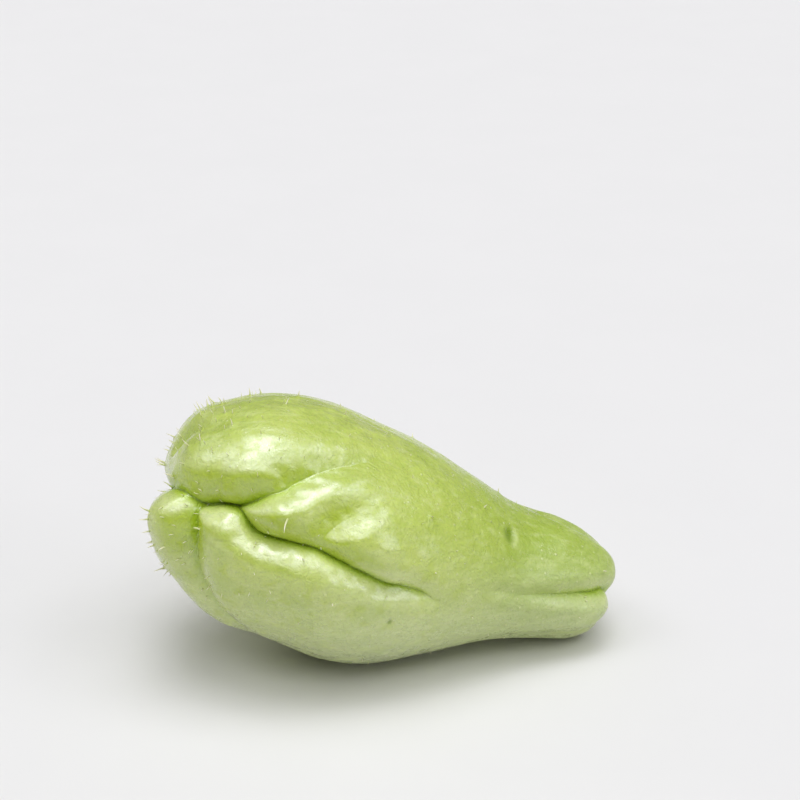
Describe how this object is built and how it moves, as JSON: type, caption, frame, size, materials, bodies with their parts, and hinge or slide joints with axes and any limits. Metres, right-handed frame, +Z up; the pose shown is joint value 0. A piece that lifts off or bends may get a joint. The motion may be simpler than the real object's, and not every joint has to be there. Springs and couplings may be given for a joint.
{
  "type": "chayote squash",
  "caption": "Whole pear-shaped chayote lying on its side, with deep lengthwise folds, a slit blossom end, a grooved neck and short spines.",
  "frame": {"origin": "on the floor the fruit lies on, under the middle of its bounding box", "axes": "+Z up, +X along the fruit from the blossom end to the stem end, -Y towards the side with the deep front fold"},
  "size_m": [0.1512, 0.086, 0.0892],
  "materials": {
    "waxy_green_skin": "waxy light yellow-green skin with a broken soft gloss, greyer low down, pale at the lips of the folds"
  },
  "bodies": {
    "root": {"chayote_fruit": "waxy_green_skin"}
  },
  "joints": []
}
